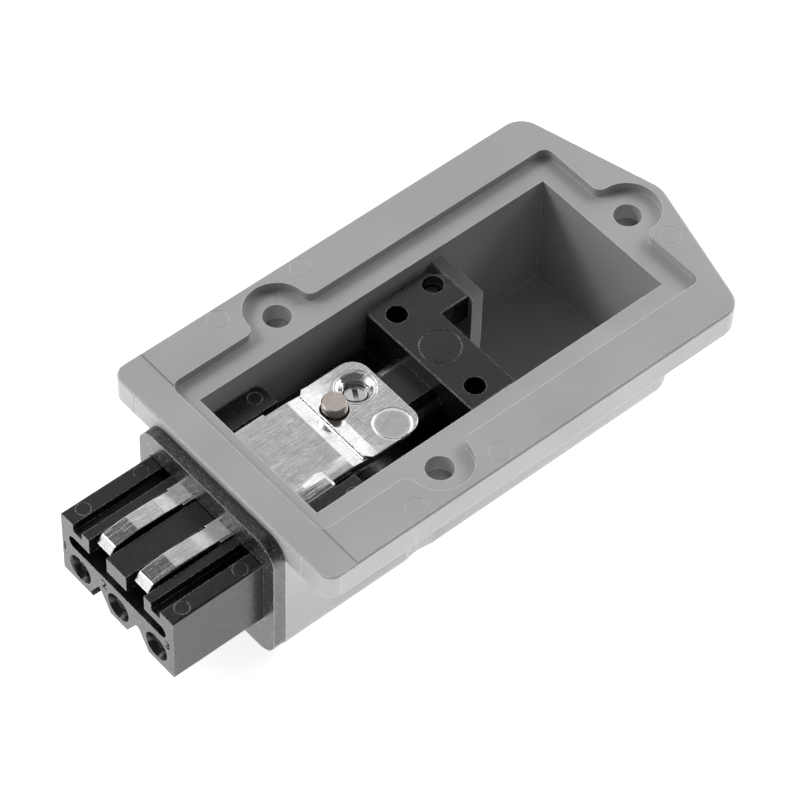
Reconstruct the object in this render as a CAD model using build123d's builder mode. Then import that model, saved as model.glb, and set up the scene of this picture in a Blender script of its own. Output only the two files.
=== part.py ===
from build123d import *
import os
from math import atan, degrees, hypot, sin

os.makedirs("parts", exist_ok=True)

# All sizes are millimetres. The part lies on the outer side of its housing with the
# panel face up. X runs from the mating face to the pointed end, Z out of the panel face.
# Distances called "drop" are measured down from the panel face, distances called "at"
# are measured along X from the front face of the flange.

# contact insert
insert_width = 26.0
insert_height = 13.1
insert_drop = 6.3
insert_reach = 18.75
insert_corner = 0.3
insert_shoulder = 0.25
rail_end_at = 18.5
rail_inner = 8.8
rail_corner = 1.2
tongue_width = 24.8
tongue_top_drop = 12.3
tongue_bottom_drop = 20.9
hump_width = 11.2
hump_drop = 7.4
hump_round = 2.4

# contact positions
contact_pitch = 8.9
contact_drop = 15.9

# front of the insert
mating_slot_length = 22.6
mating_slot_height = 2.5
mating_slot_drop = 10.7
mating_slot_depth = 14.0
centre_rail_width = 4.5
side_rib_inner = 6.4
side_rib_outer = 8.0
side_wall_inner = 10.1
side_groove_depth = 1.6
vee_depth = 4.1
vee_width = 5.0
vee_tip = 0.5

# sockets in the insert
lead_in_bore = 5.0
lead_in_lip = 4.2
lead_in_depth = 1.2
contact_bore_gap = 0.1

# fits and clearances
window_gap = 0.1
cavity_gap = 0.45
gasket_gap = 0.05
seat_gap = 0.1
thread_gap = 0.05
driver_hole = 3.4

# housing
side_wall = 2.05
front_wall = 7.5
rear_wall = 2.8
floor_wall = 3.2
cavity_length = 67.5
housing_height = 27.1
body_round = 3.4

# flange
flange_overhang = 9.5
flange_side = 80.4
flange_thickness = 4.7
flange_front_corner = 2.4
flange_rear_corner = 4.0
flange_edge = 0.35
nose_rise = 6.9
nose_round = 5.0
front_band = 5.6
band_step = 0.15

# seal recess in the panel face
recess_depth = 1.6
recess_front_land = 2.3
recess_land = 4.0
recess_corner = 1.6
lobe_radius = 5.2
lobe_blend = 1.5

# mounting holes
mount_hole = 4.5
mount_spacing = 37.1
mount_pair_at = 26.4
mount_nose_at = 80.3
head_clearance = 4.4

# front gasket
gasket_thickness = 2.25
gasket_corner = 3.6
gasket_top_drop = 1.45
gasket_foot = 0.1

# contacts
pin_bore = 4.05
contact_wall = 0.5
contact_socket_depth = 14.0
contact_slit = 0.6
contact_slit_length = 10.5
contact_set_back = 0.15
spring_wall = 0.2
spring_band = 5.0
spring_gap = 0.02
spring_at = -12.8
spring_slit = 1.0
head_radius = 3.3
head_length = 6.4
wire_bore = 3.2
wire_depth = 5.6
barrel_radius = 2.3
collar_length = 1.6
terminal_thread = 3.0
terminal_screw_length = 3.6
terminal_screw_slot = 0.5
terminal_at = 41.7

# terminal block
block_at = 38.3
block_length = 8.7
block_width = 24.2
block_top_drop = 3.9
lobe_inner = 4.85
lobe_outer = 12.6
lobe_length = 5.4
lobe_chamfer = 2.3
lobe_thickness = 5.2
block_screw_at = 49.7
block_screw_y = 9.9
wire_entry = 4.4
wire_bay_inner = 3.2
pocket_gap = 0.15
pocket_wall = 0.5

# block fixing screw and the boss it goes into
block_screw_head = 3.2
block_screw_head_height = 1.3
block_screw_sink = 2.3
block_screw_shank = 2.0
block_screw_length = 7.0
block_screw_slot = 0.5
boss_radius = 2.6

# ribs in the cavity
stop_rib_thickness = 2.1
stop_rib_inner = 4.0
stop_rib_round = 1.2
floor_rib_spacing = 16.0
floor_rib_thickness = 1.6

# earth plate, whose rear end dips under the earth terminal
plate_thickness = 0.6
plate_drop = 6.1
plate_front_at = 0.6
plate_half_width = 7.75
plate_end_at = 25.4
dip_start_at = 19.2
dip_end_at = 23.7
lap_gap = 0.02
flap_end_at = 15.2
flap_height = 1.5
flap_round = 0.38

# spring fingers of the earth plate, with stations in front of the flange
finger_spacing = 8.7
finger_root = 3.8
finger_width = 3.1
finger_root_reach = 4.4
finger_rise_reach = 4.8
finger_rise_lift = 0.05
finger_back_reach = 7.5
finger_back_lift = 0.55
finger_crest_reach = 12.4
finger_crest_lift = 0.9
finger_bend_reach = 14.4
finger_bend_lift = 0.7
finger_nose_reach = 16.5
finger_nose_lift = 0.4
finger_tip_reach = 17.4
finger_tip_fall = 0.8
finger_bend_round = 0.45

# earth terminal, a tab with a drawn thread
tab_front_at = 21.5
tab_end_at = 32.9
tab_half_width = 8.2
tab_front_corner = 0.9
tab_corner = 3.0
earth_hole_at = 29.0
earth_hole_y = 3.4
earth_thread = 4.0
collar_wall = 0.7
collar_height = 3.4
funnel_radius = 2.85
funnel_height = 0.6
earth_screw_length = 4.0
earth_screw_sink = 1.6
earth_screw_slot = 0.8
earth_pin_at = 23.9
earth_pin_y = 2.2
earth_pin_diameter = 4.0
earth_pin_length = 8.0
earth_pin_proud = 1.9
earth_pin_hole_gap = 0.25

# derived places
cavity_width = insert_width + 2 * cavity_gap
body_width = cavity_width + 2 * side_wall
flange_width = body_width + 2 * flange_overhang
cavity_rear_at = front_wall + cavity_length
body_length = cavity_rear_at + rear_wall
nose_half_angle = atan(flange_width / 2 / nose_rise)
nose_loss = nose_round * (1 / sin(nose_half_angle) - 1)
overall_length = insert_reach + flange_side + nose_rise - nose_loss
front = insert_reach - overall_length / 2
panel = housing_height
contact_z = panel - contact_drop
insert_bottom = panel - insert_drop - insert_height
insert_front = front - insert_reach
contact_outer = pin_bore / 2 + contact_wall
contact_bore = contact_outer + spring_wall + spring_gap + contact_bore_gap
contact_front = insert_front + lead_in_depth + contact_set_back
tongue_bottom = panel - tongue_bottom_drop
contact_ys = [contact_pitch, 0, -contact_pitch]
screwed_ys = [contact_pitch, -contact_pitch]
terminal_x = front + terminal_at
head_front = terminal_x - head_length / 2
head_rear = terminal_x + head_length / 2
plate_top = panel - plate_drop
mount_pair = [(front + mount_pair_at, mount_spacing / 2), (front + mount_pair_at, -mount_spacing / 2)]
mount_nose = (front + mount_nose_at, 0)
mount_points = mount_pair + [mount_nose]


def x_cylinder(radius, start, end, y, z, mode=Mode.ADD):
    """A round bar or bore along X between two stations."""
    with BuildSketch(Plane.YZ.offset(start)) as profile:
        with Locations((y, z)):
            Circle(radius)
    extrude(profile.sketch, amount=end - start, mode=mode)


def z_cylinder(radius, bottom, top, x, y, mode=Mode.ADD):
    """A round post or hole along Z between two heights."""
    with BuildSketch(Plane.XY.offset(bottom)) as profile:
        with Locations((x, y)):
            Circle(radius)
    extrude(profile.sketch, amount=top - bottom, mode=mode)


def x_box(start, end, y_low, y_high, z_low, z_high, mode=Mode.ADD):
    """A straight block between stations on all three axes."""
    with BuildSketch(Plane.XY.offset(z_low)) as profile:
        with Locations(((start + end) / 2, (y_low + y_high) / 2)):
            Rectangle(end - start, y_high - y_low)
    extrude(profile.sketch, amount=z_high - z_low, mode=mode)


def on_a_lobe(vertex):
    """True for a corner that lies on the circle round one of the mounting holes."""
    return any(abs(hypot(vertex.X - x, vertex.Y - y) - lobe_radius) < 0.01 for x, y in mount_points)


# housing: one moulding of flange, seal recess, wiring cavity and insert window
with BuildPart() as housing:
    with BuildSketch():
        with Locations((front + body_length / 2, 0)):
            Rectangle(body_length, body_width)
    extrude(amount=panel - flange_thickness)
    rear_corners = housing.edges().filter_by(Axis.Z).group_by(Axis.X)[-1]
    under_edges = housing.faces().sort_by(Axis.Z)[0].edges()
    fillet(rear_corners + (under_edges - under_edges.group_by(Axis.X)[0]), radius=body_round)

    with BuildSketch(Plane.XY.offset(panel - flange_thickness)) as flange_outline:
        with BuildLine():
            Polyline(
                (front, -flange_width / 2),
                (front + flange_side, -flange_width / 2),
                (front + flange_side + nose_rise, 0),
                (front + flange_side, flange_width / 2),
                (front, flange_width / 2),
                close=True,
            )
        make_face()
        corner_groups = flange_outline.vertices().group_by(Axis.X)
        fillet(corner_groups[0], radius=flange_front_corner)
        corner_groups = flange_outline.vertices().filter_by_position(
            Axis.X, front + flange_side - 0.01, front + flange_side + 0.01
        )
        fillet(corner_groups, radius=flange_rear_corner)
        fillet(flange_outline.vertices().sort_by(Axis.X)[-1], radius=nose_round)
    extrude(amount=flange_thickness)
    chamfer(housing.faces().sort_by(Axis.Z)[-1].edges(), length=flange_edge)
    x_box(front - 1, front + front_band, -flange_width, flange_width, panel - band_step, panel + 1,
          mode=Mode.SUBTRACT)

    # recess for the flat flange seal, with a lobe round each mounting hole
    recess_front = front + front_wall - recess_front_land
    recess_rear = front + cavity_rear_at + recess_land
    recess_width = cavity_width + 2 * recess_land
    with BuildSketch(Plane.XY.offset(panel - recess_depth)) as recess:
        with Locations(((recess_front + recess_rear) / 2, 0)):
            Rectangle(recess_rear - recess_front, recess_width)
        fillet(recess.vertices(), radius=recess_corner)
        with Locations(*mount_points):
            Circle(lobe_radius)
        long_sides = [v for v in recess.vertices() if abs(abs(v.Y) - recess_width / 2) < 0.01]
        rear_side = [v for v in recess.vertices() if abs(v.X - recess_rear) < 0.01]
        fillet([v for v in long_sides + rear_side if on_a_lobe(v)], radius=lobe_blend)
    extrude(amount=recess_depth + 1, mode=Mode.SUBTRACT)

    # wiring cavity and the window that the insert is pushed through
    x_box(front + front_wall, front + cavity_rear_at, -cavity_width / 2, cavity_width / 2,
          floor_wall, panel, mode=Mode.SUBTRACT)
    window_low = insert_bottom - window_gap
    window_high = plate_top + window_gap
    x_box(front - 1, front + front_wall + 1, -insert_width / 2 - window_gap, insert_width / 2 + window_gap,
          window_low, window_high, mode=Mode.SUBTRACT)

    # three mounting holes, each with room for a screw head beside the body
    for spot in mount_points:
        z_cylinder(mount_hole / 2, panel - flange_thickness, panel, *spot, mode=Mode.SUBTRACT)
        z_cylinder(head_clearance, -1, panel - flange_thickness, *spot, mode=Mode.SUBTRACT)

    # stop rib behind the terminal block, with a rounded free corner
    rib_front = front + block_at + block_length + lobe_length + seat_gap
    rib_top = panel - block_top_drop
    with BuildSketch(Plane.YZ.offset(rib_front)) as stop_rib:
        with BuildLine():
            Polyline(
                (stop_rib_inner, floor_wall),
                (cavity_width / 2, floor_wall),
                (cavity_width / 2, rib_top),
                (stop_rib_inner, rib_top),
                close=True,
            )
        make_face()
        fillet(stop_rib.vertices().group_by(Axis.Z)[-1].sort_by(Axis.Y)[0], radius=stop_rib_round)
    extrude(amount=stop_rib_thickness)

    # boss for the block screw, tied to the side wall and to the stop rib
    boss_x = front + block_screw_at
    boss_top = panel - block_top_drop - lobe_thickness
    z_cylinder(boss_radius, floor_wall, boss_top, boss_x, block_screw_y)
    x_box(boss_x - boss_radius / 2, boss_x + boss_radius / 2, block_screw_y, cavity_width / 2,
          floor_wall, boss_top)
    x_box(boss_x, rib_front, block_screw_y - boss_radius / 2, block_screw_y + boss_radius / 2,
          floor_wall, boss_top)
    screw_seat = panel - block_top_drop - block_screw_sink - block_screw_head_height
    z_cylinder(block_screw_shank / 2, screw_seat - block_screw_length - 0.5, boss_top, boss_x, block_screw_y,
               mode=Mode.SUBTRACT)

    # two floor ribs that carry the rails, then the lower tongue and the block
    for side in (-1, 1):
        rib_low = side * floor_rib_spacing / 2 - floor_rib_thickness / 2
        rib_high = rib_low + floor_rib_thickness
        x_box(front + front_wall, front + rail_end_at - seat_gap, rib_low, rib_high, floor_wall, insert_bottom)
        x_box(front + rail_end_at - seat_gap, front + block_at + block_length, rib_low, rib_high,
              floor_wall, tongue_bottom)
housing.part.label = "housing"
export_step(housing.part, "parts/housing.step")


# rubber gasket on the front face, round the insert
with BuildPart() as front_gasket:
    gasket_top = panel - gasket_top_drop
    with BuildSketch(Plane.YZ.offset(front)):
        with Locations((0, (gasket_top + gasket_foot) / 2)):
            RectangleRounded(body_width, gasket_top - gasket_foot, gasket_corner)
        with Locations((0, (insert_bottom + plate_top) / 2)):
            Rectangle(insert_width + 2 * gasket_gap, plate_top - insert_bottom + 2 * gasket_gap,
                      mode=Mode.SUBTRACT)
    extrude(amount=-gasket_thickness)
front_gasket.part.label = "front_gasket"
export_step(front_gasket.part, "parts/front_gasket.step")


# contact insert: mating nose in front, rails in the window, barrel tongue behind
with BuildPart() as contact_insert:
    rail_end = front + rail_end_at
    tongue_end = front + block_at
    insert_top = panel - insert_drop
    with BuildSketch(Plane.YZ.offset(insert_front)):
        with Locations((0, (insert_top + insert_bottom) / 2)):
            RectangleRounded(insert_width, insert_height, insert_corner)
    extrude(amount=rail_end - insert_front)
    # side rails are a little wider behind the front wall, so the insert cannot be pulled out
    shoulder_at = front + front_wall + seat_gap / 2
    for side in (-1, 1):
        low, high = sorted((side * rail_inner, side * (insert_width / 2 + insert_shoulder)))
        x_box(shoulder_at, rail_end, low, high, insert_bottom + insert_corner, insert_top)
    rail_corners = contact_insert.edges().filter_by(Axis.Z).group_by(Axis.X)[-1]
    fillet(rail_corners, radius=rail_corner)

    # rear tongue: low shoulders over the outer contacts and a rounded hump over the middle one
    hump_top = panel - hump_drop
    with BuildSketch(Plane.YZ.offset(rail_end)) as tongue:
        with Locations((0, (tongue_bottom + hump_top) / 2)):
            Rectangle(hump_width, hump_top - tongue_bottom)
        fillet(tongue.vertices().group_by(Axis.Z)[-1], radius=hump_round)
        with Locations((0, (tongue_bottom + panel - tongue_top_drop) / 2)):
            Rectangle(tongue_width, panel - tongue_top_drop - tongue_bottom)
    extrude(amount=tongue_end - rail_end)

    # grooves beside the small ribs and seat for the earth plate
    groove_floor = insert_top - side_groove_depth
    for side in (-1, 1):
        for start, end, outer in ((insert_front, front, side_wall_inner), (front, rail_end, rail_inner)):
            low, high = sorted((side * side_rib_outer, side * outer))
            x_box(start, end, low, high, groove_floor, insert_top, mode=Mode.SUBTRACT)
    x_box(front - gasket_thickness, rail_end, -side_rib_outer, side_rib_outer,
          plate_top - plate_thickness, insert_top, mode=Mode.SUBTRACT)

    # spring channels either side of the centre rail, open to the slot across the face
    slot_z = panel - mating_slot_drop
    channel_end = front - gasket_thickness
    for side in (-1, 1):
        low, high = sorted((side * centre_rail_width / 2, side * side_rib_inner))
        x_box(insert_front, channel_end, low, high, slot_z, insert_top, mode=Mode.SUBTRACT)
    with BuildSketch(Plane.YZ.offset(insert_front)):
        with Locations((0, slot_z)):
            SlotOverall(mating_slot_length, mating_slot_height)
    extrude(amount=mating_slot_depth, mode=Mode.SUBTRACT)

    # vee grooves between the sockets, along the mating nose
    for side in (-1, 1):
        with BuildSketch(Plane.YZ.offset(insert_front)) as vee:
            with BuildLine():
                Polyline(
                    (side * contact_pitch / 2 - vee_width / 2, insert_bottom),
                    (side * contact_pitch / 2, insert_bottom + vee_depth),
                    (side * contact_pitch / 2 + vee_width / 2, insert_bottom),
                    close=True,
                )
            make_face()
            fillet(vee.vertices().sort_by(Axis.Z)[-1], radius=vee_tip)
        extrude(amount=insert_reach - gasket_thickness, mode=Mode.SUBTRACT)

    # sockets: a funnelled lip that hides the front of the contact, then the bore for it
    with BuildSketch(Plane.YZ.offset(insert_front)) as lead_ins:
        with Locations(*[(y, contact_z) for y in contact_ys]):
            Circle(lead_in_bore / 2)
    lead_in_taper = degrees(atan((lead_in_bore - lead_in_lip) / 2 / lead_in_depth))
    extrude(lead_ins.sketch, amount=lead_in_depth, taper=lead_in_taper, mode=Mode.SUBTRACT)
    for y in contact_ys:
        x_cylinder(contact_bore, insert_front + lead_in_depth, tongue_end, y, contact_z, mode=Mode.SUBTRACT)

    # pocket of the earth thread, open to one side for the wire, and the hole of the pin
    pocket_floor = contact_z + contact_bore + pocket_wall
    collar_radius = earth_thread / 2 + thread_gap + collar_wall
    earth_x = front + earth_hole_at
    z_cylinder(collar_radius + seat_gap, pocket_floor, panel, earth_x, earth_hole_y, mode=Mode.SUBTRACT)
    x_box(earth_x - wire_entry / 2, earth_x + wire_entry / 2, earth_hole_y, hump_width, pocket_floor, panel,
          mode=Mode.SUBTRACT)
    pin_bottom = plate_top + earth_pin_proud - earth_pin_length
    z_cylinder(earth_pin_diameter / 2, pin_bottom, panel, front + earth_pin_at, earth_pin_y,
               mode=Mode.SUBTRACT)
contact_insert.part.label = "contact_insert"
export_step(contact_insert.part, "parts/contact_insert.step")


# terminal block behind the insert, with a lobe that takes its fixing screw
with BuildPart() as terminal_block:
    block_front = front + block_at
    block_rear = block_front + block_length
    block_top = panel - block_top_drop
    x_box(block_front, block_rear, -block_width / 2, block_width / 2, tongue_bottom, block_top)
    with BuildSketch(Plane.XY.offset(block_top - lobe_thickness)) as lobe:
        with BuildLine():
            Polyline(
                (block_rear - 1, lobe_inner),
                (block_rear + lobe_length, lobe_inner),
                (block_rear + lobe_length, lobe_outer),
                (block_rear - 1, lobe_outer),
                close=True,
            )
        make_face()
        chamfer(lobe.vertices().group_by(Axis.X)[-1].sort_by(Axis.Y)[-1], length=lobe_chamfer)
    extrude(amount=lobe_thickness)
    top_edges = terminal_block.faces().sort_by(Axis.Z)[-1].edges()
    chamfer(top_edges, length=0.15)

    # chambers of the contact heads, wire passages and the driver holes over the outer heads
    for y in contact_ys:
        x_cylinder(head_radius + pocket_gap, block_front, head_rear + seat_gap, y, contact_z,
                   mode=Mode.SUBTRACT)
        x_cylinder(wire_entry / 2, block_front, block_rear, y, contact_z, mode=Mode.SUBTRACT)
    for y in screwed_ys:
        z_cylinder(driver_hole / 2, contact_z, block_top, terminal_x, y, mode=Mode.SUBTRACT)

    # bay that turns the wire of the first contact inwards, past the boss
    bay_outer = contact_pitch + wire_entry / 2
    x_box(head_rear + seat_gap, block_rear, wire_bay_inner, bay_outer, contact_z - wire_entry / 2,
          contact_z + wire_entry / 2, mode=Mode.SUBTRACT)

    # counterbored hole for the fixing screw
    screw_x = front + block_screw_at
    z_cylinder(block_screw_head / 2 + seat_gap, screw_seat, block_top, screw_x, block_screw_y,
               mode=Mode.SUBTRACT)
    z_cylinder(block_screw_shank / 2 + seat_gap, 0, screw_seat, screw_x, block_screw_y, mode=Mode.SUBTRACT)
terminal_block.part.label = "terminal_block"
export_step(terminal_block.part, "parts/terminal_block.step")


# the three turned contacts: slit socket in front, wire head behind; the outer two take a screw
for index, y in enumerate(contact_ys, start=1):
    with BuildPart() as contact:
        x_cylinder(contact_outer, contact_front, head_front + collar_length / 2, y, contact_z)
        if y in screwed_ys:
            x_cylinder(head_radius, head_front, head_rear, y, contact_z)
        else:
            x_cylinder(head_radius, head_front, head_front + collar_length, y, contact_z)
            x_cylinder(barrel_radius, head_front, head_rear, y, contact_z)
        x_cylinder(pin_bore / 2, contact_front, contact_front + contact_socket_depth, y, contact_z,
                   mode=Mode.SUBTRACT)
        x_box(contact_front, contact_front + contact_slit_length, y - contact_slit / 2,
              y + contact_slit / 2, contact_z - 2 * contact_outer, contact_z + 2 * contact_outer,
              mode=Mode.SUBTRACT)
        x_cylinder(wire_bore / 2, head_rear - wire_depth, head_rear, y, contact_z, mode=Mode.SUBTRACT)
        if y in screwed_ys:
            z_cylinder(terminal_thread / 2, contact_z, contact_z + head_radius + 1, terminal_x, y,
                       mode=Mode.SUBTRACT)
    contact.part.label = f"contact_{index}"
    export_step(contact.part, f"parts/contact_{index}.step")

# open spring rings that press the fingers of each socket inwards
for index, y in enumerate(contact_ys, start=1):
    with BuildPart() as contact_spring:
        spring_inner = contact_outer + spring_gap
        spring_start = front + spring_at
        with BuildSketch(Plane.YZ.offset(spring_start)):
            with Locations((y, contact_z)):
                Circle(spring_inner + spring_wall)
                Circle(spring_inner, mode=Mode.SUBTRACT)
        extrude(amount=spring_band)
        x_box(spring_start, spring_start + spring_band, y, y + 2 * contact_outer,
              contact_z - spring_slit / 2, contact_z + spring_slit / 2, mode=Mode.SUBTRACT)
    contact_spring.part.label = f"contact_spring_{index}"
    export_step(contact_spring.part, f"parts/contact_spring_{index}.step")

# headless clamp screws of the outer contacts
screw_bottom = contact_z + wire_bore / 2
screw_top = screw_bottom + terminal_screw_length
screw_radius = terminal_thread / 2 - thread_gap
for index, y in enumerate(screwed_ys, start=1):
    with BuildPart() as terminal_screw:
        z_cylinder(screw_radius, screw_bottom, screw_top, terminal_x, y)
        x_box(terminal_x - screw_radius, terminal_x + screw_radius, y - terminal_screw_slot / 2,
              y + terminal_screw_slot / 2, screw_top - 0.8, screw_top, mode=Mode.SUBTRACT)
    terminal_screw.part.label = f"terminal_screw_{index}"
    export_step(terminal_screw.part, f"parts/terminal_screw_{index}.step")


# stamped earth plate: seat, side flaps, two spring fingers and a rear end that dips
with BuildPart() as earth_plate:
    half = plate_thickness / 2
    mid = plate_top - half
    plate_end = front + plate_end_at
    dip = plate_thickness + lap_gap
    with BuildSketch(Plane.XZ.offset(-plate_half_width)):
        with BuildLine():
            Polyline(
                (front + plate_front_at, mid),
                (front + dip_start_at, mid),
                (front + dip_end_at, mid - dip),
                (plate_end, mid - dip),
            )
        trace(line_width=plate_thickness)
    extrude(amount=2 * plate_half_width)

    for side in (-1, 1):
        flap_mid = side * (side_rib_outer + seat_gap + half)
        with BuildSketch(Plane.YZ.offset(front + plate_front_at)):
            with BuildLine():
                FilletPolyline(
                    (side * (plate_half_width - half), mid),
                    (flap_mid, mid),
                    (flap_mid, mid - flap_height),
                    radius=flap_round,
                )
            trace(line_width=plate_thickness)
        extrude(amount=flap_end_at - plate_front_at)

        finger_y = side * finger_spacing / 2
        finger_foot = front + plate_front_at + plate_thickness
        with BuildSketch(Plane.XZ.offset(-finger_y - finger_width / 2)):
            with BuildLine():
                FilletPolyline(
                    (finger_foot, mid),
                    (front - finger_rise_reach, mid + finger_rise_lift),
                    (front - finger_back_reach, mid + finger_back_lift),
                    (front - finger_crest_reach, mid + finger_crest_lift),
                    (front - finger_bend_reach, mid + finger_bend_lift),
                    (front - finger_nose_reach, mid + finger_nose_lift),
                    (front - finger_tip_reach, mid - finger_tip_fall),
                    radius=finger_bend_round,
                )
            trace(line_width=plate_thickness)
        extrude(amount=finger_width)
        x_box(front - finger_root_reach, finger_foot, finger_y - finger_root / 2,
              finger_y + finger_root / 2, mid - half, mid + half)

    # open notch that the pin passes through
    pin_x = front + earth_pin_at
    pin_notch = earth_pin_diameter / 2 + earth_pin_hole_gap
    z_cylinder(pin_notch, plate_top - 5, plate_top + 1, pin_x, earth_pin_y, mode=Mode.SUBTRACT)
earth_plate.part.label = "earth_plate"
export_step(earth_plate.part, "parts/earth_plate.step")


# earth terminal: a tab lapped over the rear end of the plate, with the thread for the wire clamp
with BuildPart() as earth_terminal:
    tab_front = front + tab_front_at
    tab_end = front + tab_end_at
    tab_rise = dip * (dip_end_at - tab_front_at) / (dip_end_at - dip_start_at)
    with BuildSketch(Plane.XZ.offset(-tab_half_width)):
        with BuildLine():
            Polyline((tab_front, mid + tab_rise), (front + dip_end_at, mid), (tab_end, mid))
        trace(line_width=plate_thickness)
    extrude(amount=2 * tab_half_width)
    with BuildSketch(Plane.XY.offset(plate_top - 5)) as plan:
        with Locations(((tab_front + tab_end) / 2, 0)):
            Rectangle(tab_end - tab_front, 2 * tab_half_width)
        chamfer(plan.vertices().group_by(Axis.X)[0], length=tab_front_corner)
        fillet(plan.vertices().group_by(Axis.X)[-1], radius=tab_corner)
    extrude(amount=10, mode=Mode.INTERSECT)

    # drawn threaded collar with a wide funnel, and the clearance hole for the pin
    z_cylinder(collar_radius, plate_top - plate_thickness - collar_height, plate_top - plate_thickness,
               earth_x, earth_hole_y)
    z_cylinder(earth_thread / 2 + thread_gap, plate_top - 5, plate_top + 1, earth_x, earth_hole_y,
               mode=Mode.SUBTRACT)
    with BuildSketch(Plane.XY.offset(plate_top)) as funnel:
        with Locations((earth_x, earth_hole_y)):
            Circle(funnel_radius)
    funnel_taper = degrees(atan((funnel_radius - earth_thread / 2 - thread_gap) / funnel_height))
    extrude(funnel.sketch, amount=-funnel_height, taper=funnel_taper, mode=Mode.SUBTRACT)
    z_cylinder(pin_notch, plate_top - 5, plate_top + 1, pin_x, earth_pin_y, mode=Mode.SUBTRACT)
earth_terminal.part.label = "earth_terminal"
export_step(earth_terminal.part, "parts/earth_terminal.step")


# slotted clamp screw in the collar of the earth terminal
with BuildPart() as earth_screw:
    earth_top = plate_top - earth_screw_sink
    z_cylinder(earth_thread / 2, earth_top - earth_screw_length, earth_top, front + earth_hole_at, earth_hole_y)
    x_box(front + earth_hole_at - earth_thread, front + earth_hole_at + earth_thread,
          earth_hole_y - earth_screw_slot / 2, earth_hole_y + earth_screw_slot / 2,
          earth_top - 1.1, earth_top, mode=Mode.SUBTRACT)
earth_screw.part.label = "earth_screw"
export_step(earth_screw.part, "parts/earth_screw.step")


# plain pin that locates the earth plate and its terminal on the insert
with BuildPart() as earth_pin:
    z_cylinder(earth_pin_diameter / 2, pin_bottom, pin_bottom + earth_pin_length,
               front + earth_pin_at, earth_pin_y)
    chamfer(earth_pin.edges().filter_by(GeomType.CIRCLE).group_by(Axis.Z)[-1], length=0.2)
earth_pin.part.label = "earth_pin"
export_step(earth_pin.part, "parts/earth_pin.step")


# screw that holds the terminal block down on its boss
with BuildPart() as block_screw:
    z_cylinder(block_screw_shank / 2, screw_seat - block_screw_length, screw_seat, screw_x, block_screw_y)
    z_cylinder(block_screw_head / 2, screw_seat, screw_seat + block_screw_head_height, screw_x, block_screw_y)
    x_box(screw_x - block_screw_head, screw_x + block_screw_head, block_screw_y - block_screw_slot / 2,
          block_screw_y + block_screw_slot / 2, screw_seat + block_screw_head_height - 0.6,
          screw_seat + block_screw_head_height, mode=Mode.SUBTRACT)
block_screw.part.label = "block_screw"
export_step(block_screw.part, "parts/block_screw.step")

print("overall length", round(overall_length, 3), "flange front at x", round(front, 3))
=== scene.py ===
import math

import bmesh
import bpy
from mathutils import Matrix, Vector


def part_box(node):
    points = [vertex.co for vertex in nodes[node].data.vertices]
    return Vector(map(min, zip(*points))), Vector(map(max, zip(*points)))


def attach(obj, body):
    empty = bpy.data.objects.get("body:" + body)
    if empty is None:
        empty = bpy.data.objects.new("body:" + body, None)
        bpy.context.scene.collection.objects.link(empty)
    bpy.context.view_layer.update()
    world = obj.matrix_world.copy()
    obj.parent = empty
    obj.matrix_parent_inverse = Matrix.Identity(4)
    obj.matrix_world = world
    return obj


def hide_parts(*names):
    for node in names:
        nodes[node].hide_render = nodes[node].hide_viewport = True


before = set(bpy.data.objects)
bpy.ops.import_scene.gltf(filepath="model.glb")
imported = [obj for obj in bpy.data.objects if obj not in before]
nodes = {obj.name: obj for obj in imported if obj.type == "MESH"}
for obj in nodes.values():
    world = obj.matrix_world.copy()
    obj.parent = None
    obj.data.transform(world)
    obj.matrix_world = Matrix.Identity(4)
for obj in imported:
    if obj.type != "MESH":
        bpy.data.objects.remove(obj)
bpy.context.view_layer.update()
mm = 0.001

# stations shared by all pieces: the flange's front edge and the panel face
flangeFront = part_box("housing")[0].x
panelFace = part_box("housing")[1].z
print("frame loaded,", len(nodes), "nodes")

# places that more than one piece uses, in millimetres from those stations
pairX, pairY = 26.4, 18.55  # the pair of mounting holes
plateTop = -6.1
coin = {"place": (28.8, -5.3, plateTop), "outer": 3.05, "width": 0.25, "depth": 0.012,
        "frostStart": (2.25, 2.75), "frostEnd": (2.95, 3.1), "middleEnd": (2.2, 2.7)}
collar = (29.0, 3.4, plateTop)
pinTop = (23.9, 2.2, -4.2)


def at(x, y, z):
    return Vector((flangeFront + x * mm, y * mm, panelFace + z * mm))


# small helpers for objects and meshes
def linked(name, data):
    thing = bpy.data.objects.new(name, data)
    bpy.context.scene.collection.objects.link(thing)
    return thing


def editing(mesh):
    bm = bmesh.new()
    bm.from_mesh(mesh)
    return bm


def store(bm, mesh):
    bm.to_mesh(mesh)
    bm.free()
    return mesh


def flattened(thing):
    # what an object looks like with its modifiers, as a plain mesh
    bpy.context.view_layer.update()
    return bpy.data.meshes.new_from_object(thing.evaluated_get(bpy.context.evaluated_depsgraph_get()))


def keepSharp(mesh, angle=32):
    mesh.set_sharp_from_angle(angle=math.radians(angle))


# nodes for materials and for geometry
def addNode(tree, kind, inputs=None, **settings):
    # the inputs are given as values or as sockets to link
    node = tree.nodes.new(kind)
    for key, value in settings.items():
        setattr(node, key, value)
    for key, value in (inputs or {}).items():
        if isinstance(value, bpy.types.NodeSocket):
            tree.links.new(value, node.inputs[key])
        else:
            node.inputs[key].default_value = value
    return node


def put(tree, kind, inputs=None, **settings):
    return addNode(tree, "ShaderNode" + kind, inputs, **settings)


def geo(tree, kind, inputs=None, **settings):
    return addNode(tree, "GeometryNode" + kind, inputs, **settings)


def stretched(tree, coords, scale, turn=(0, 0, 0)):
    return put(tree, "Mapping", {"Vector": coords, "Scale": scale, "Rotation": turn}).outputs[0]


def noise(tree, vector, scale, detail=2.0, rough=0.5):
    return put(tree, "TexNoise", {"Vector": vector, "Scale": scale, "Detail": detail,
                                  "Roughness": rough}).outputs["Fac"]


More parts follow.
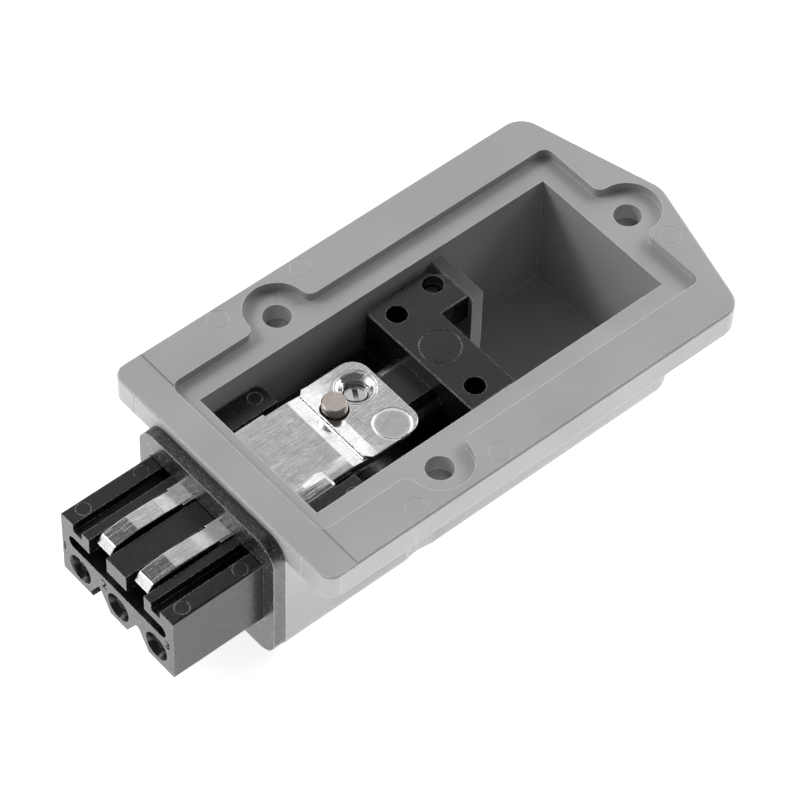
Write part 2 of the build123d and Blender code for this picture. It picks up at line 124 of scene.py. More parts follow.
def ramp(tree, value, low, high, toLow=0.0, toHigh=1.0):
    return put(tree, "MapRange", {"Value": value, "From Min": low, "From Max": high,
                                  "To Min": toLow, "To Max": toHigh}).outputs[0]


def math2(tree, operation, a, b):
    return put(tree, "Math", {0: a, 1: b}, operation=operation).outputs[0]


def times(tree, a, b):
    return math2(tree, "MULTIPLY", a, b)


def plus(tree, a, b):
    return math2(tree, "ADD", a, b)


def mixColour(tree, share, a, b):
    return put(tree, "Mix", {0: share, 6: a, 7: b}, data_type="RGBA").outputs[2]


def specks(tree, coords, scale, core, fade, most):
    # round dots, full up to core and gone at fade
    cells = put(tree, "TexVoronoi", {"Vector": coords, "Scale": scale}, feature="F1")
    return ramp(tree, cells.outputs["Distance"], core, fade, most, 0.0)


def edgeWearAndHighlight(tree, radius, low, high):
    # 1 on the outer edges of a piece: the mask of worn chips, and of painted highlights where edges catch
    #                                  the light
    soft = put(tree, "Bevel", {"Radius": radius}, samples=4).outputs[0]
    plain = put(tree, "NewGeometry").outputs["Normal"]
    alike = put(tree, "VectorMath", {0: soft, 1: plain}, operation="DOT_PRODUCT").outputs["Value"]
    return ramp(tree, alike, low, high)


def distanceFrom(tree, coords, centre):
    # how far a point is from the upright line through centre
    moved = put(tree, "VectorMath", {0: coords, 1: tuple(centre)}, operation="SUBTRACT").outputs[0]
    flatWay = put(tree, "VectorMath", {0: moved, 1: (1, 1, 0)}, operation="MULTIPLY").outputs[0]
    return put(tree, "VectorMath", {0: flatWay}, operation="LENGTH").outputs["Value"]


# materials: each look is a dictionary beside the function that uses it
def newMaterial(name):
    material = bpy.data.materials.new(name)
    material.use_nodes = True
    tree = material.node_tree
    tree.nodes.clear()
    output = put(tree, "OutputMaterial")
    surface = put(tree, "BsdfPrincipled")
    coords = put(tree, "TexCoord").outputs["Object"]
    tree.links.new(surface.outputs["BSDF"], output.inputs["Surface"])
    return material, tree, surface, coords


def coat(tree, surface, base, rough, height, look):
    # edge is the radius of the soft edges that every moulded or stamped piece has
    tree.links.new(base, surface.inputs["Base Color"])
    tree.links.new(rough, surface.inputs["Roughness"])
    surface.inputs["IOR"].default_value = look["ior"]
    soft = put(tree, "Bevel", {"Radius": look["edge"]}, samples=6).outputs[0]
    bump = put(tree, "Bump", {"Height": height, "Distance": look["reliefDepth"], "Normal": soft,
                              "Strength": look["relief"]})
    tree.links.new(bump.outputs[0], surface.inputs["Normal"])


# the rim colour is a painted highlight along the outer edges; rimWidth and rimBreaks set its width and where
# it breaks
housingLook = {"colour": (0.430, 0.418, 0.428, 1), "shade": 0.05, "cloudScale": 70,
               "flowStretch": (30, 260, 260), "dust": (0.62, 0.61, 0.60, 1), "dustScale": 420,
               "rimHighlight": (1.0, 0.99, 1.0, 1), "rimWidth": 0.17 * mm, "rimBreaks": 1200, "smooth": 0.45,
               "rough": 0.57, "roughScale": 900, "grain": 5200, "reliefDepth": 0.010 * mm, "relief": 0.6,
               "edge": 0.07 * mm, "ior": 1.5}


def housingMaterial(name, look):
    material, tree, surface, coords = newMaterial(name)
    dark, light = (tuple(c * share for c in look["colour"][:3]) + (1,)
                   for share in (1 - look["shade"], 1 + look["shade"]))
    cloud = noise(tree, coords, look["cloudScale"], detail=3)
    flow = noise(tree, stretched(tree, coords, look["flowStretch"]), 1.0, detail=4, rough=0.6)
    base = mixColour(tree, ramp(tree, cloud, 0.35, 0.65), dark, light)
    base = mixColour(tree, ramp(tree, flow, 0.42, 0.72, 0.0, 0.28), base, light)
    base = mixColour(tree, specks(tree, coords, look["dustScale"], 0.0, 0.035, 0.35), base, look["dust"])
    # a pale line along the outer edges, broken in places: a painted highlight where the edges catch the
    # light
    breaks = noise(tree, coords, look["rimBreaks"], detail=3, rough=0.7)
    uneven = ramp(tree, breaks, 0.35, 0.55, 0.40, 1.0)
    rimHighlight = times(tree, edgeWearAndHighlight(tree, look["rimWidth"], 0.995, 0.90), uneven)
    base = mixColour(tree, rimHighlight, base, look["rimHighlight"])
    rough = noise(tree, coords, look["roughScale"], detail=3)
    rough = ramp(tree, rough, 0.3, 0.7, look["smooth"], look["rough"])
    coat(tree, surface, base, rough, noise(tree, coords, look["grain"], rough=0.6), look)
    return material


blackLook = {"colour": (0.0055, 0.0052, 0.0058, 1), "clouded": (0.012, 0.012, 0.013, 1), "cloudScale": 160,
             "worn": (0.38, 0.38, 0.385, 1), "rubStretch": (260, 5200, 5200), "rubTurn": (0.2, 0.5, 0.3),
             "rubPatches": 230, "dustScale": 900, "chip": 0.18 * mm, "chipScale": 3000, "smooth": 0.22,
             "rough": 0.34, "roughScale": 1100, "grain": 3800, "reliefDepth": 0.006 * mm, "relief": 0.7,
             "edge": 0.07 * mm, "ior": 1.56}


def blackMaterial(name, look=blackLook):
    material, tree, surface, coords = newMaterial(name)
    cloud = noise(tree, coords, look["cloudScale"], detail=4, rough=0.6)
    base = mixColour(tree, ramp(tree, cloud, 0.4, 0.8, 0.0, 0.5), look["colour"], look["clouded"])
    # light rubs and short scratches from handling
    scratch = noise(tree, stretched(tree, coords, look["rubStretch"], look["rubTurn"]), 1.0)
    patch = ramp(tree, noise(tree, coords, look["rubPatches"]), 0.52, 0.66)
    rub = times(tree, ramp(tree, scratch, 0.70, 0.76, 0.0, 0.12), patch)
    base = mixColour(tree, rub, base, look["worn"])
    base = mixColour(tree, specks(tree, coords, look["dustScale"], 0.02, 0.06, 0.25), base, look["worn"])
    chips = ramp(tree, noise(tree, coords, look["chipScale"], detail=3, rough=0.7), 0.44, 0.52)
    chips = times(tree, edgeWearAndHighlight(tree, look["chip"], 0.99, 0.90), chips)
    base = mixColour(tree, chips, base, look["worn"])
    rough = noise(tree, coords, look["roughScale"], detail=3)
    rough = ramp(tree, rough, 0.3, 0.7, look["smooth"], look["rough"])
    coat(tree, surface, base, rough, noise(tree, coords, look["grain"]), look)
    return material


plateLook = {"colour": (0.70, 0.70, 0.71, 1), "dull": (0.60, 0.60, 0.61, 1), "bloomScale": 420,
             "scratch": (0.95, 0.95, 0.95, 1), "frost": (1.0, 1.0, 1.0, 1), "smooth": 0.07, "rough": 0.16,
             "reliefDepth": 0.014 * mm, "relief": 0.8, "edge": 0.20 * mm, "ior": 1.5,
             # stretch and turn of each set of lines
             "firstLines": ((420, 9000, 300), (0, 0, 0.5)), "secondLines": ((8000, 500, 300), (0, 0, 0.25)),
             "gouges": ((140, 7000, 300), (0, 0, 0.95)), "fleckScale": 800, "waveScale": 260, "wave": 2.2,
             "lineDepth": 0.45, "ringDepth": 0.25, "ringRadiansPerMetre": 30000.0}


def scratches(tree, coords, layout, low, high, detail=3, rough=0.7):
    lines = noise(tree, stretched(tree, coords, *layout), 1.0, detail, rough)
    return ramp(tree, lines, low, high)


def plateMaterial(name, changes, coined=None, turned=None):
    look = {**plateLook, **changes}
    material, tree, surface, coords = newMaterial(name)
    surface.inputs["Metallic"].default_value = 1.0
    bloom = noise(tree, coords, look["bloomScale"], detail=5, rough=0.62)
    base = mixColour(tree, ramp(tree, bloom, 0.42, 0.70), look["colour"], look["dull"])
    # fine scratches in two directions over a slightly wavy plated surface
    lines = plus(tree, scratches(tree, coords, look["firstLines"], 0.55, 0.75),
                 scratches(tree, coords, look["secondLines"], 0.58, 0.78))
    if look["scratch"]:
        gouges = scratches(tree, coords, look["gouges"], 0.66, 0.70, detail=2, rough=0.5)
        lines = plus(tree, lines, gouges)
        lines = plus(tree, lines, specks(tree, coords, look["fleckScale"], 0.06, 0.10, 1.0))
        base = mixColour(tree, times(tree, lines, 0.5), base, look["scratch"])
    rough = ramp(tree, bloom, 0.35, 0.70, look["smooth"], look["rough"])
    rough = plus(tree, rough, times(tree, lines, 0.12))
    if coined:
        # a flat round tool leaves a paler frosted ring with a greyer middle; reach is in millimetres
        reach = times(tree, distanceFrom(tree, coords, at(*coined["place"])), 1 / mm)
        ring = times(tree, ramp(tree, reach, *coined["frostStart"]),
                     ramp(tree, reach, *coined["frostEnd"], 1.0, 0.0))
        ring = times(tree, ring, ramp(tree, bloom, 0.35, 0.60, 0.35, 1.0))
        base = mixColour(tree, times(tree, ring, 0.8), base, look["frost"])
        base = mixColour(tree, ramp(tree, reach, *coined["middleEnd"], 0.5, 0.0), base, look["dull"])
        rough = plus(tree, rough, times(tree, ring, 0.25))
    wave = times(tree, noise(tree, coords, look["waveScale"]), look["wave"])
    height = plus(tree, wave, times(tree, lines, look["lineDepth"]))
    if turned:
        # fine rings round the middle of a turned end, about 0.2 mm apart
        reach = distanceFrom(tree, coords, at(*turned))
        phase = times(tree, reach, look["ringRadiansPerMetre"])
        rings = put(tree, "Math", {0: phase}, operation="SINE").outputs[0]
        height = plus(tree, height, times(tree, rings, look["ringDepth"]))
    coat(tree, surface, base, rough, height, look)
    return material


rubberLook = {"colour": (0.005, 0.005, 0.0065, 1), "fleckAndHighlight": (0.95, 0.94, 0.97, 1), "fleckScale": 6200,
              "streakStretch": (4600, 1300, 1300), "line": 0.28 * mm, "smooth": 0.20, "rough": 0.34,
              "lumpScale": 2600, "reliefDepth": 0.035 * mm, "relief": 0.7, "edge": 0.12 * mm, "ior": 1.68}


def rubberMaterial(name, look=rubberLook):
    material, tree, surface, coords = newMaterial(name)
    fine = noise(tree, coords, look["fleckScale"], detail=3, rough=0.65)
    # flecks gather in streaks that follow the edge of the sheet
    streaks = noise(tree, stretched(tree, coords, look["streakStretch"]), 1.0, detail=4, rough=0.65)
    fleckAndHighlight = times(tree, ramp(tree, fine, 0.53, 0.63), ramp(tree, streaks, 0.52, 0.68, 0.02, 0.7))
    # the face towards -X gets extra pale flecks: partly flecks of its own, partly a painted sheen for the
    # bright floor it reflects
    across = put(tree, "SeparateXYZ", {0: put(tree, "NewGeometry").outputs["Normal"]}).outputs["X"]
    frontFlecksAndSheen = times(tree, ramp(tree, across, -0.5, -0.9), ramp(tree, fine, 0.48, 0.64, 0.0, 0.07))
    # a pale broken line along the outer edges: a painted highlight where the edges catch the light
    line = times(tree, edgeWearAndHighlight(tree, look["line"], 0.99, 0.88), ramp(tree, fine, 0.40, 0.60, 0.15, 0.75))
    # the real flecks, the painted sheen and the painted edge highlight all share one pale colour
    for paler in (frontFlecksAndSheen, line):
        fleckAndHighlight = math2(tree, "MAXIMUM", fleckAndHighlight, paler)
    base = mixColour(tree, fleckAndHighlight, look["colour"], look["fleckAndHighlight"])
    rough = ramp(tree, fine, 0.35, 0.65, look["smooth"], look["rough"])
    lumps = noise(tree, coords, look["lumpScale"], detail=4, rough=0.65)
    coat(tree, surface, base, rough, plus(tree, lumps, times(tree, streaks, 0.7)), look)
    return material


# the bosses are painted darker than the housing: painted shade that makes the mounting holes look deep
holeShadeLook = {**housingLook, "colour": (0.16, 0.155, 0.16, 1), "rimHighlight": (0.3, 0.3, 0.3, 1)}
# what the other metals change of the plated look
contactLook = {"colour": (0.78, 0.75, 0.69, 1), "dull": (0.62, 0.59, 0.54, 1), "scratch": None,
               "smooth": 0.18, "rough": 0.34, "edge": 0.08 * mm, "reliefDepth": 0.004 * mm}
screwLook = {"colour": (0.80, 0.80, 0.80, 1), "dull": (0.55, 0.55, 0.56, 1), "scratch": None,
             "smooth": 0.2, "rough": 0.38, "edge": 0.06 * mm, "reliefDepth": 0.006 * mm}
sleeveLook = {**screwLook, "colour": (0.6, 0.6, 0.6, 1), "reliefDepth": 0.004 * mm}
pinLook = {"colour": (0.60, 0.545, 0.495, 1), "dull": (0.46, 0.415, 0.375, 1), "scratch": None,
           "smooth": 0.24, "rough": 0.40, "edge": 0.1 * mm, "reliefDepth": 0.006 * mm}
housingGrey = housingMaterial("mouldedGrey", housingLook)
holeShadeGrey = housingMaterial("paintedHoleShade", holeShadeLook)
insertBlack = blackMaterial("satinBlackInsert")
blockBlack = blackMaterial("satinBlackBlock")
platedSteel = plateMaterial("tinPlatedSteel", {}, coined=coin)
contactMetal = plateMaterial("platedBrass", contactLook)
screwSteel = plateMaterial("zincSteel", screwLook)
sleeveSteel = plateMaterial("springSteel", sleeveLook)
pinSteel = plateMaterial("turnedPin", pinLook, turned=pinTop)
gasketRubber = rubberMaterial("fleckedRubber")
print("materials made")


# solids of the frame, welded and smoothed for the render
def weld(mesh, distance=0.0005 * mm, flatAngle=0.3):
    bm = editing(mesh)
    bmesh.ops.remove_doubles(bm, verts=bm.verts, dist=distance)
    bmesh.ops.dissolve_limit(bm, angle_limit=math.radians(flatAngle), verts=bm.verts, edges=bm.edges)
    for face in bm.faces:
        face.smooth = True
    keepSharp(store(bm, mesh))


def addPiece(name, mesh, material, body, replaced=()):
    piece = linked(name, mesh)
    mesh.materials.clear()
    mesh.materials.append(material)
    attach(piece, body)
    if replaced:
        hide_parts(*replaced)
    return piece


def dressNode(nodeName, material, body):
    mesh = nodes[nodeName].data.copy()
    mesh.name = nodeName + "Mesh"
    weld(mesh)
    piece = addPiece(nodeName + "_body", mesh, material, body, (nodeName,))
    piece.modifiers.new("flatFaces", "WEIGHTED_NORMAL").keep_sharp = True
    return piece


root = "connector"
dressed = {}
for nodeName, material, slotName in (
    ("housing", housingGrey, "housing_grey"),
    ("front_gasket", gasketRubber, "gasket_rubber"),
    ("contact_insert", insertBlack, "insert_black"),
    ("terminal_block", blockBlack, "block_black"),
    ("earth_plate", platedSteel, "plate_steel"),
    ("earth_terminal", platedSteel, "plate_steel"),
    ("earth_pin", pinSteel, "pin_steel"),
    ("block_screw", screwSteel, "screw_steel"),
    ("contact_1", contactMetal, "contact_metal"),
    ("contact_2", contactMetal, "contact_metal"),
    ("contact_3", contactMetal, "contact_metal"),
    ("contact_spring_1", sleeveSteel, "sleeve_steel"),
    ("contact_spring_2", sleeveSteel, "sleeve_steel"),
    ("contact_spring_3", sleeveSteel, "sleeve_steel"),
):
    dressed[nodeName] = dressNode(nodeName, material, root)

# the head of the block screw is rounded over, before its normals are weighted
headRounding = {"width": 0.12, "segments": 3, "fromAngle": 50}
roundHead = dressed["block_screw"].modifiers.new("roundHead", "BEVEL")
roundHead.width = headRounding["width"] * mm
roundHead.segments = headRounding["segments"]
roundHead.limit_method = "ANGLE"
roundHead.angle_limit = math.radians(headRounding["fromAngle"])
dressed["block_screw"].modifiers.move(1, 0)
print("solids dressed")


# short bosses that lengthen the three mounting holes under the flange
holeBosses = {"places": ((pairX, pairY), (pairX, -pairY), (80.3, 0.0)), "outer": 3.6, "inner": 2.25,
              "top": -4.7, "length": 4.6, "lip": 0.25}


def latheMesh(name, centre, outline, around=64):
    # a closed outline of radius and height pairs turned round the upright line through centre
    def corner(radius, height, k):
        turn = k * math.tau / around
        return centre + Vector((radius * mm * math.cos(turn), radius * mm * math.sin(turn), height * mm))

    bm = bmesh.new()
    loops = [[bm.verts.new(corner(radius, height, k)) for k in range(around)] for radius, height in outline]
    for first, second in zip(loops, loops[1:] + loops[:1]):
        for k in range(around):
            bm.faces.new((first[k], first[k - 1], second[k - 1], second[k])).smooth = True
    bmesh.ops.recalc_face_normals(bm, faces=bm.faces)
    mesh = store(bm, bpy.data.meshes.new(name))
    keepSharp(mesh)
    return mesh


outer, inner, lip = holeBosses["outer"], holeBosses["inner"], holeBosses["lip"]
foot = -holeBosses["length"]
bossOutline = ((inner, 0.0), (outer, 0.0), (outer, foot + lip), (outer - lip, foot), (inner, foot))
for index, (x, y) in enumerate(holeBosses["places"], start=1):
    mesh = latheMesh("hole_boss_%d" % index, at(x, y, holeBosses["top"]), bossOutline)
    addPiece("hole_boss_%d" % index, mesh, holeShadeGrey, root)
print("hole bosses made")


# the sprung bow of the fingers: reach in front of the flange, lift in millimetres
fingerBow = ((2.3, 0.0), (4.8, 0.2875), (7.5, 0.0), (12.4, -0.162), (19.0, -0.162))
# the seat of the plate is pressed up into a lip over one flap: it rises along rise and side and ends
# along fall, and the plate is first cut across at cutsX and cutsY so that it can bend
plateLip = {"lift": 0.24, "rise": (8.8, 13.6), "fall": (14.7, 15.3), "side": (-5.1, -6.9),
            "cutsX": (8.8, 9.6, 10.4, 11.2, 12.0, 12.8, 13.6, 14.2, 14.7, 15.0),
            "cutsY": (-5.1, -5.5, -5.9, -6.3, -6.7)}


def between(value, start, full):
    share = min(max((value - start) / (full - start), 0.0), 1.0)
    return share * share * (3 - 2 * share)


def bowFingers(mesh):
    for vertex in mesh.vertices:
        reach = (flangeFront - vertex.co.x) / mm
        for (near, low), (far, high) in zip(fingerBow, fingerBow[1:]):
            if near < reach <= far:
                vertex.co.z += (low + (high - low) * (reach - near) / (far - near)) * mm
                break


def raiseLip(mesh):
    bm = editing(mesh)
    cuts = [(at(x, 0, 0), (1, 0, 0)) for x in plateLip["cutsX"]]
    cuts += [(at(0, y, 0), (0, 1, 0)) for y in plateLip["cutsY"]]
    for place, normal in cuts:
        bmesh.ops.bisect_plane(bm, geom=bm.verts[:] + bm.edges[:] + bm.faces[:],
                               plane_co=place, plane_no=normal)
    for vertex in bm.verts:
        x, y = (vertex.co.x - flangeFront) / mm, vertex.co.y / mm
        if x > 0 and y < plateLip["side"][0]:
            share = between(y, *plateLip["side"]) * between(x, *plateLip["rise"])
            share *= 1 - between(x, *plateLip["fall"])
            vertex.co.z += share * plateLip["lift"] * mm
    store(bm, mesh)


plateMesh = dressed["earth_plate"].data
bowFingers(plateMesh)
raiseLip(plateMesh)
keepSharp(plateMesh, angle=2)  # its folds stay crisp


# sunk numbers on the mating face
digits = {"height": 1.85, "sizeForHeight": 1.35, "depth": 0.40, "weight": 0.055,
          "places": (("1", 12.45, -13.75), ("2", 3.15, -13.65), ("3", -11.55, -12.95))}


def digitCutter(text, y, z):
    font = bpy.data.curves.new("digit" + text, "FONT")
    font.body = text
    font.size = digits["height"] * digits["sizeForHeight"] * mm
    font.align_x = "CENTER"
    font.align_y = "CENTER"
    font.extrude = digits["depth"] * mm
    font.offset = digits["weight"] * mm
    font.resolution_u = 3
    holder = linked("digit" + text, font)
    mesh = flattened(holder)
    bpy.data.objects.remove(holder)
    # the face looks along -X, so the text runs towards -Y
    turn = Matrix(((0, 0, -1, 0), (-1, 0, 0, 0), (0, 1, 0, 0), (0, 0, 0, 1)))
    place = at(0, y, z)
    place.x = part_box("contact_insert")[0].x
    mesh.transform(Matrix.Translation(place) @ turn)
    bm = editing(mesh)
    bmesh.ops.remove_doubles(bm, verts=bm.verts, dist=0.0002 * mm)
    bmesh.ops.recalc_face_normals(bm, faces=bm.faces)
    return store(bm, mesh)


def cutAway(piece, cutterMesh):
    cutter = linked("cutter", cutterMesh)
    cut = piece.modifiers.new("cut", "BOOLEAN")
    cut.operation = "DIFFERENCE"
    cut.solver = "EXACT"
    cut.object = cutter
    piece.modifiers.move(piece.modifiers.find("cut"), 0)
    flat = flattened(piece)
    piece.modifiers.remove(cut)
    piece.data = flat
    bpy.data.objects.remove(cutter)
    keepSharp(flat)


for text, y, z in digits["places"]:
    cutAway(dressed["contact_insert"], digitCutter(text, y, z))
print("numbers sunk")


# round marks left by the mould and the press: x, y, top, outer radius, ring width, depth
roundMarks = {
    "housing": [(pairX + step, side * 22.7, 0.0, 1.75, 0.14, 0.06)
                for step in (-8.0, 8.0) for side in (-1, 1)] + [(81.6, -8.0, 0.0, 1.75, 0.14, 0.06)],
    "contact_insert": [(x, side * 11.45, -6.3, 1.2, 0.10, 0.012)
                       for x in (-15.8, -5.2, 16.3) for side in (-1, 1)],
    "terminal_block": [(42.65, 0.0, -3.9, 3.35, 0.22, 0.08)],
    "earth_terminal": [(*coin["place"], coin["outer"], coin["width"], coin["depth"]),
                       (*collar, 3.35, 0.14, 0.018), (*collar, 3.0, 0.12, 0.018)],
}
# fine upright lines left by the joints of the mould, on the side and the front of the flange
mouldLines = {"sideX": (16.44, 2.36), "frontY": (-18.90, 19.46), "edgeY": -25.0, "heights": (-4.9, 0.1),
              "width": 0.12, "depth": 0.06, "past": 0.2}


def joined(meshes, name):
    bm = bmesh.new()
    for mesh in meshes:
        bm.from_mesh(mesh)
    return store(bm, bpy.data.meshes.new(name))


def ringCutter(x, y, top, outer, width, depth):
    outline = ((outer, depth), (outer, -depth), (outer - width, -depth), (outer - width, depth))
    return latheMesh("ringCutter", at(x, y, top), outline, around=56)


def boxCutter(xs, ys, zs):
    bm = bmesh.new()
    bmesh.ops.create_cube(bm, size=1.0)
    size = Matrix.Diagonal([(high - low) * mm for low, high in (xs, ys, zs)] + [1])
    middle = at(*[(low + high) / 2 for low, high in (xs, ys, zs)])
    bm.transform(Matrix.Translation(middle) @ size)
    return store(bm, bpy.data.meshes.new("boxCutter"))


def lineCutters():
    half, edgeY = mouldLines["width"] / 2, mouldLines["edgeY"]
    sides = [boxCutter((x - half, x + half), (edgeY - mouldLines["past"], edgeY + mouldLines["depth"]),
                       mouldLines["heights"]) for x in mouldLines["sideX"]]
    fronts = [boxCutter((-mouldLines["past"], mouldLines["depth"]), (y - half, y + half),
                        mouldLines["heights"]) for y in mouldLines["frontY"]]
    return sides + fronts


for nodeName, marks in roundMarks.items():
    cutters = [ringCutter(*mark) for mark in marks]
    if nodeName == "housing":
        cutters += lineCutters()
    cutAway(dressed[nodeName], joined(cutters, "markCutters"))
print("moulding marks sunk")


# threads and clamp screws by geometry nodes
def newTree(name, inputs):
    tree = bpy.data.node_groups.new(name, "GeometryNodeTree")
    sockets = {}
    for label, kind, value in inputs:
        socket = tree.interface.new_socket(name=label, in_out="INPUT", socket_type="NodeSocket" + kind)
        if value is not None:
            socket.default_value = value
        sockets[label] = socket.identifier
    tree.interface.new_socket(name="Geometry", in_out="OUTPUT", socket_type="NodeSocketGeometry")
    return tree, sockets, tree.nodes.new("NodeGroupInput").outputs


def upward(tree, height):
    return put(tree, "CombineXYZ", {"Z": height}).outputs[0]


def lifted(tree, geometry, height):
    return geo(tree, "Transform", {"Geometry": geometry, "Translation": upward(tree, height)}).outputs[0]


def endTree(tree, geometry, material):
    real = geo(tree, "RealizeInstances", {"Geometry": geometry}).outputs[0]
    painted = geo(tree, "SetMaterial", {"Geometry": real, "Material": material}).outputs[0]
    tree.links.new(painted, tree.nodes.new("NodeGroupOutput").inputs[0])


def threadNodes(tree, radius, ridge, pitch, turns, low):
    # a four-sided ridge swept along a helix that starts at height low, half of it sunk in the metal
    helix = geo(tree, "CurveSpiral", {"Resolution": 28, "Rotations": turns, "Start Radius": radius,
                                      "End Radius": radius, "Height": times(tree, pitch, turns)})
    upright = geo(tree, "SetCurveNormal", {"Curve": helix.outputs["Curve"]}, mode="Z_UP")
    profile = geo(tree, "CurvePrimitiveCircle", {"Resolution": 4, "Radius": ridge})
    swept = geo(tree, "CurveToMesh", {"Curve": upright.outputs["Curve"],
                                      "Profile Curve": profile.outputs["Curve"], "Fill Caps": True})
    return lifted(tree, swept.outputs["Mesh"], low)


def screwTree():
    tree, sockets, g = newTree("clampScrew", (
        ("Core", "Float", 1.2 * mm), ("Length", "Float", 3.6 * mm), ("Pitch", "Float", 0.5 * mm),
        ("Ridge", "Float", 0.2 * mm), ("Turns", "Float", 6.0), ("Slot Width", "Float", 0.5 * mm),
        ("Slot Depth", "Float", 0.8 * mm), ("Steel", "Material", None)))
    shank = geo(tree, "MeshCylinder", {"Vertices": 40, "Radius": g["Core"], "Depth": g["Length"]})
    raised = lifted(tree, shank.outputs["Mesh"], times(tree, g["Length"], 0.5))
    # the slot is cut by a bar across the top, wider than the screw
    size = put(tree, "CombineXYZ", {"X": times(tree, g["Core"], 3.0), "Y": g["Slot Width"],
                                    "Z": times(tree, g["Slot Depth"], 2.0)}).outputs[0]
    bar = lifted(tree, geo(tree, "MeshCube", {"Size": size}).outputs["Mesh"], g["Length"])
    slotted = geo(tree, "MeshBoolean", {"Mesh 1": raised, "Mesh 2": bar}, operation="DIFFERENCE")
    ridge = threadNodes(tree, g["Core"], g["Ridge"], g["Pitch"], g["Turns"], times(tree, g["Pitch"], 0.7))
    both = geo(tree, "JoinGeometry")
    tree.links.new(slotted.outputs[0], both.inputs[0])
    tree.links.new(ridge, both.inputs[0])
    endTree(tree, both.outputs[0], g["Steel"])
    return tree, sockets


def innerThreadTree():
    tree, sockets, g = newTree("innerThread", (
        ("Radius", "Float", 2.0 * mm), ("Pitch", "Float", 0.7 * mm), ("Ridge", "Float", 0.1 * mm),
        ("Turns", "Float", 4.0), ("Steel", "Material", None)))
    endTree(tree, threadNodes(tree, g["Radius"], g["Ridge"], g["Pitch"], g["Turns"], 0.0), g["Steel"])
    return tree, sockets


def runTree(tree, sockets, values, name):
    holder = linked(name, bpy.data.meshes.new(name))
    modifier = holder.modifiers.new("nodes", "NODES")
    modifier.node_group = tree
    for label, value in values.items():
        modifier[sockets[label]] = value
    mesh = flattened(holder)
    bpy.data.objects.remove(holder)
    return mesh


def finishMesh(mesh, place, turn=0.0):
    mesh.transform(Matrix.Translation(place) @ Matrix.Rotation(turn, 4, "Z"))
    bm = editing(mesh)
    bmesh.ops.recalc_face_normals(bm, faces=bm.faces)
    for face in bm.faces:
        face.smooth = True
    keepSharp(store(bm, mesh), angle=35)
    return mesh


def onAxis(low, high, height):
    return Vector(((low.x + high.x) / 2, (low.y + high.y) / 2, height))


contactScrew = {"Core": 1.22, "Ridge": 0.2, "Pitch": 0.5, "Turns": 5.4, "Slot Width": 0.5, "Slot Depth": 0.8}
clampScrews = {
    "terminal_screw_1": {"body": "first_clamp_screw", "turn": 0.5, **contactScrew},
    "terminal_screw_2": {"body": "third_clamp_screw", "turn": 1.9, **contactScrew},
    "earth_screw": {"body": "earth_clamp_screw", "turn": 1.05, "Core": 1.72, "Ridge": 0.24, "Pitch": 0.7,
                    "Turns": 4.2, "Slot Width": 0.8, "Slot Depth": 1.0},
}
screwNodes, screwSockets = screwTree()
for nodeName, sizes in clampScrews.items():
    low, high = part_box(nodeName)
    values = {key: sizes[key] * mm for key in ("Core", "Ridge", "Pitch", "Slot Width", "Slot Depth")}
    values.update({"Length": high.z - low.z, "Turns": sizes["Turns"], "Steel": screwSteel})
    mesh = runTree(screwNodes, screwSockets, values, nodeName + "_turned")
    finishMesh(mesh, onAxis(low, high, low.z), sizes["turn"])
    addPiece(nodeName + "_turned", mesh, screwSteel, sizes["body"], (nodeName,))

# the thread inside the drawn collar of the earth terminal
innerThread = {"Radius": 2.05, "Pitch": 0.7, "Ridge": 0.09, "Turns": 3.8, "low": -9.6}
threadTree, threadSockets = innerThreadTree()
low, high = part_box("earth_screw")
values = {key: innerThread[key] * mm for key in ("Radius", "Pitch", "Ridge")}
values.update({"Turns": innerThread["Turns"], "Steel": platedSteel})
mesh = runTree(threadTree, threadSockets, values, "collar_thread")
finishMesh(mesh, onAxis(low, high, panelFace + innerThread["low"] * mm))
addPiece("collar_thread", mesh, platedSteel, root)
print("threads and clamp screws made")


# floor, light and camera
studio = {"floorColour": (0.94, 0.94, 0.94, 1), "floorRoughness": 0.9, "floorSize": 3.0,
          "floorDrop": 0.05 * mm, "floorGlow": 0.80, "floorBounce": 0.50, "skyBase": 0.12,
          "boxHeading": 76.0, "boxStrength": 1.15, "boxFade": (-0.30, 0.25),
          # sine of the angle above the horizon, and how bright the box is there
          "boxBands": ((0.0, 0.9), (0.62, 1.0), (0.68, 1.3), (0.718, 1.3), (0.732, 0.31), (0.755, 0.33),
                       (0.77, 0.41), (0.80, 0.41), (0.835, 0.03), (1.0, 0.0))}


def backdropMaterial(name, colour):
    # a lit white table: it glows less to the camera, so it still takes the object's shadow
    material, tree, surface = newMaterial(name)[:3]
    surface.inputs["Base Color"].default_value = colour
    surface.inputs["Roughness"].default_value = studio["floorRoughness"]
    surface.inputs["Specular IOR Level"].default_value = 0.0
    seen = ramp(tree, put(tree, "LightPath").outputs["Is Camera Ray"], 0.0, 1.0,
                studio["floorGlow"] + studio["floorBounce"], studio["floorGlow"])
    surface.inputs["Emission Color"].default_value = (1, 1, 1, 1)
    tree.links.new(seen, surface.inputs["Emission Strength"])
    return material


def makeFloor():
    bm = bmesh.new()
    bmesh.ops.create_grid(bm, x_segments=1, y_segments=1, size=studio["floorSize"])
    mesh = store(bm, bpy.data.meshes.new("studioFloor"))
    mesh.transform(Matrix.Translation((0, 0, -studio["floorDrop"])))
    mesh.materials.append(backdropMaterial("paleFloor", studio["floorColour"]))
    floor = linked("studioFloor", mesh)


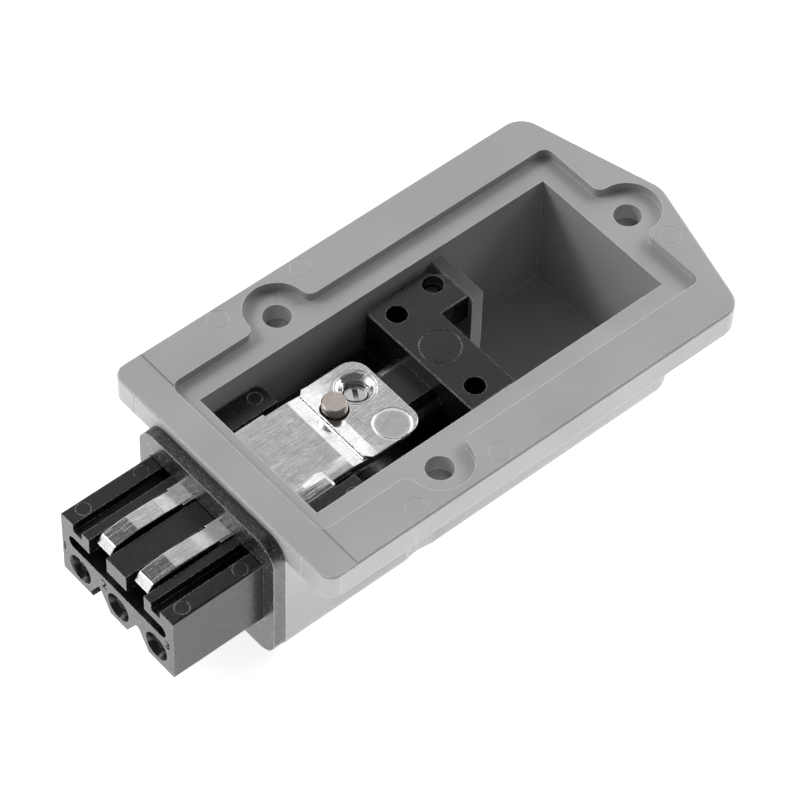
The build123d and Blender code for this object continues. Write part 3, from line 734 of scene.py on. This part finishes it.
def makeSky():
    # dim all round, with one broad softbox behind the object that fades out overhead
    world = bpy.data.worlds.new("studioSky")
    bpy.context.scene.world = world
    world.use_nodes = True
    tree = world.node_tree
    tree.nodes.clear()
    way = put(tree, "TexCoord").outputs["Generated"]
    bands = put(tree, "ValToRGB", {"Fac": put(tree, "SeparateXYZ", {0: way}).outputs["Z"]})
    points = bands.color_ramp.elements
    while len(points) < len(studio["boxBands"]):
        points.new(0.5)
    for point, (place, grey) in zip(points, studio["boxBands"]):
        point.position = place
        point.color = (grey, grey, grey, 1)
    flatWay = put(tree, "VectorMath", {0: way, 1: (1, 1, 0)}, operation="MULTIPLY").outputs[0]
    flatWay = put(tree, "VectorMath", {0: flatWay}, operation="NORMALIZE").outputs[0]
    heading = math.radians(studio["boxHeading"])
    ahead = put(tree, "VectorMath", {0: flatWay, 1: (math.cos(heading), math.sin(heading), 0)},
                operation="DOT_PRODUCT").outputs["Value"]
    window = ramp(tree, ahead, *studio["boxFade"], 0.0, studio["boxStrength"])
    light = plus(tree, times(tree, window, bands.outputs["Color"]), studio["skyBase"])
    # the camera itself sees plain white
    light = math2(tree, "MAXIMUM", light, put(tree, "LightPath").outputs["Is Camera Ray"])
    sky = put(tree, "Background", {"Color": (1, 1, 1, 1), "Strength": light})
    put(tree, "OutputWorld", {"Surface": sky.outputs[0]})


lamps = (
    # name, place, aimed at, width, height, watts
    ("rearLeftSoftbox", (-0.60, 0.85, 0.90), (0, 0, 0.01), 0.7, 0.4, 5.5),
    ("rearRightSoftbox", (1.0, -0.10, 0.75), (0, 0, 0.01), 0.8, 0.5, 5.0),
)


def makeLamps():
    for name, place, aim, width, height, watts in lamps:
        light = bpy.data.lights.new(name, "AREA")
        light.shape = "RECTANGLE"
        light.size = width
        light.size_y = height
        light.energy = watts
        lamp = linked(name, light)
        lamp.location = place
        lamp.rotation_euler = (Vector(aim) - Vector(place)).to_track_quat("-Z", "Y").to_euler()


cameraView = {"heading": 48.05087, "down": 51.37523, "roll": -1.83634, "distance": 600.84, "lens": 184.914,
              "sensor": 36, "near": 0.05, "far": 20, "target": (29.300, -6.215, 0.0)}


def makeCamera():
    heading, down, roll = (math.radians(cameraView[key]) for key in ("heading", "down", "roll"))
    ahead = Vector((math.cos(heading) * math.cos(down), math.sin(heading) * math.cos(down), -math.sin(down)))
    side = ahead.cross(Vector((0, 0, 1))).normalized()
    under = ahead.cross(side)
    right = math.cos(roll) * side + math.sin(roll) * under
    below = -math.sin(roll) * side + math.cos(roll) * under
    data = bpy.data.cameras.new("photoCamera")
    data.sensor_width = cameraView["sensor"]
    data.lens = cameraView["lens"]
    data.clip_start = cameraView["near"]
    data.clip_end = cameraView["far"]
    camera = linked("photoCamera", data)
    turn = Matrix((right, -below, -ahead)).transposed().to_4x4()
    place = at(*cameraView["target"]) - ahead * cameraView["distance"] * mm
    camera.matrix_world = Matrix.Translation(place) @ turn
    bpy.context.scene.camera = camera


makeFloor()
makeSky()
makeLamps()
makeCamera()
bpy.context.scene.view_settings.view_transform = "Standard"
print("studio set up")

bpy.context.view_layer.update()
